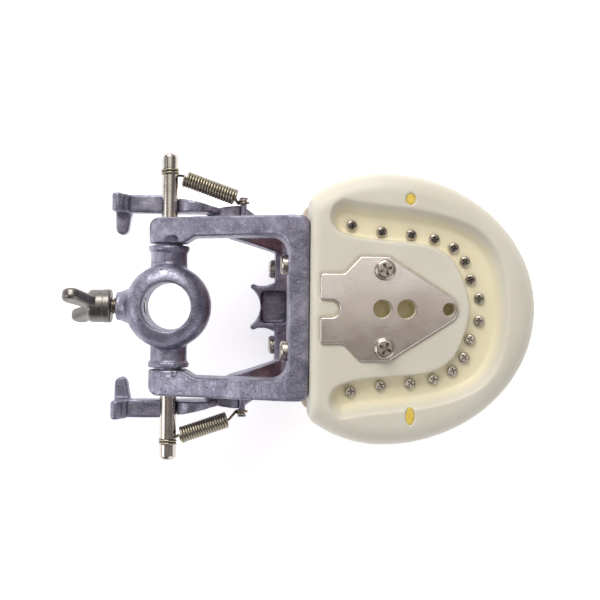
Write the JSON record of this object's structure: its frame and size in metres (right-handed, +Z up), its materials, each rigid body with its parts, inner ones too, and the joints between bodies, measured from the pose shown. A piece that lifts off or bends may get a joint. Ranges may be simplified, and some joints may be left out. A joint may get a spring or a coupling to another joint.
{
  "type": "typodont model",
  "caption": "Dental practice model: two cream jaws with removable teeth and gums on a cast hinge with guide bars, springs and a rod clamp.",
  "frame": {"origin": "where the hinge axis crosses the axis of the vertical rod bore", "axes": "+X towards the front teeth, +Y towards the model's left side, +Z up along the rod bore"},
  "size_m": [0.1354, 0.0916, 0.0648],
  "materials": {
    "base_plastic": "satin moulded",
    "gum": "soft satin",
    "tooth": "glossy",
    "casting": "as cast, dark tumbled",
    "plate": "nickel plated",
    "screw": "bright",
    "pin": "ground",
    "spring": "drawn wire",
    "plug": "satin"
  },
  "bodies": {
    "lower_jaw": {"lower_jaw_base": "base_plastic", "lower_gum": "gum", "lower_tooth_screws": "screw", "lower_mounting_plate": "plate", "lower_plate_screws": "screw", "lower_locating_plugs": "plug", "lower_frame": "casting", "lower_frame_screws": "screw", "lower_left_central_incisor": "tooth", "lower_left_lateral_incisor": "tooth", "lower_left_canine": "tooth", "lower_left_first_premolar": "tooth", "lower_left_second_premolar": "tooth", "lower_left_first_molar": "tooth", "lower_left_second_molar": "tooth", "lower_left_third_molar": "tooth", "lower_right_central_incisor": "tooth", "lower_right_lateral_incisor": "tooth", "lower_right_canine": "tooth", "lower_right_first_premolar": "tooth", "lower_right_second_premolar": "tooth", "lower_right_first_molar": "tooth", "lower_right_second_molar": "tooth", "lower_right_third_molar": "tooth", "spring_studs": "screw", "left_spring": "spring", "right_spring": "spring"},
    "hinge_pins": {"left_hinge_pin": "pin", "right_hinge_pin": "pin", "hinge_washers": "pin"},
    "upper_jaw": {"upper_jaw_base": "base_plastic", "upper_gum": "gum", "upper_tooth_screws": "screw", "upper_mounting_plate": "plate", "upper_plate_screws": "screw", "upper_locating_plugs": "plug", "upper_frame": "casting", "upper_frame_screws": "screw", "upper_left_central_incisor": "tooth", "upper_left_lateral_incisor": "tooth", "upper_left_canine": "tooth", "upper_left_first_premolar": "tooth", "upper_left_second_premolar": "tooth", "upper_left_first_molar": "tooth", "upper_left_second_molar": "tooth", "upper_left_third_molar": "tooth", "upper_right_central_incisor": "tooth", "upper_right_lateral_incisor": "tooth", "upper_right_canine": "tooth", "upper_right_first_premolar": "tooth", "upper_right_second_premolar": "tooth", "upper_right_first_molar": "tooth", "upper_right_second_molar": "tooth", "upper_right_third_molar": "tooth"},
    "rod_clamp": {"clamp_ring": "casting"},
    "clamp_screw": {"wing_screw_shank": "screw", "wing_screw_head": "casting"}
  },
  "joints": [
    {"name": "jaw_protrusion", "type": "slide", "parent": "lower_jaw", "child": "hinge_pins", "axis": [-1, 0, 0], "range_m": [0, 0.0095], "stiffness_N_per_m": 1000, "springref_m": -0.004, "deforming": ["left_spring", "right_spring"]},
    {"name": "mouth_opening", "type": "hinge", "parent": "hinge_pins", "child": "upper_jaw", "pos_m": [0, 0, 0], "axis": [0, -1, 0], "range_deg": [0, 60]},
    {"name": "ring_tilt", "type": "hinge", "parent": "hinge_pins", "child": "rod_clamp", "pos_m": [0, 0, 0], "axis": [0, -1, 0], "range_deg": [-35, 38]},
    {"name": "wing_screw_turn", "type": "hinge", "parent": "rod_clamp", "child": "clamp_screw", "pos_m": [-0.0169, 0, 0], "axis": [1, 0, 0], "range_deg": [-720, 540]}
  ]
}
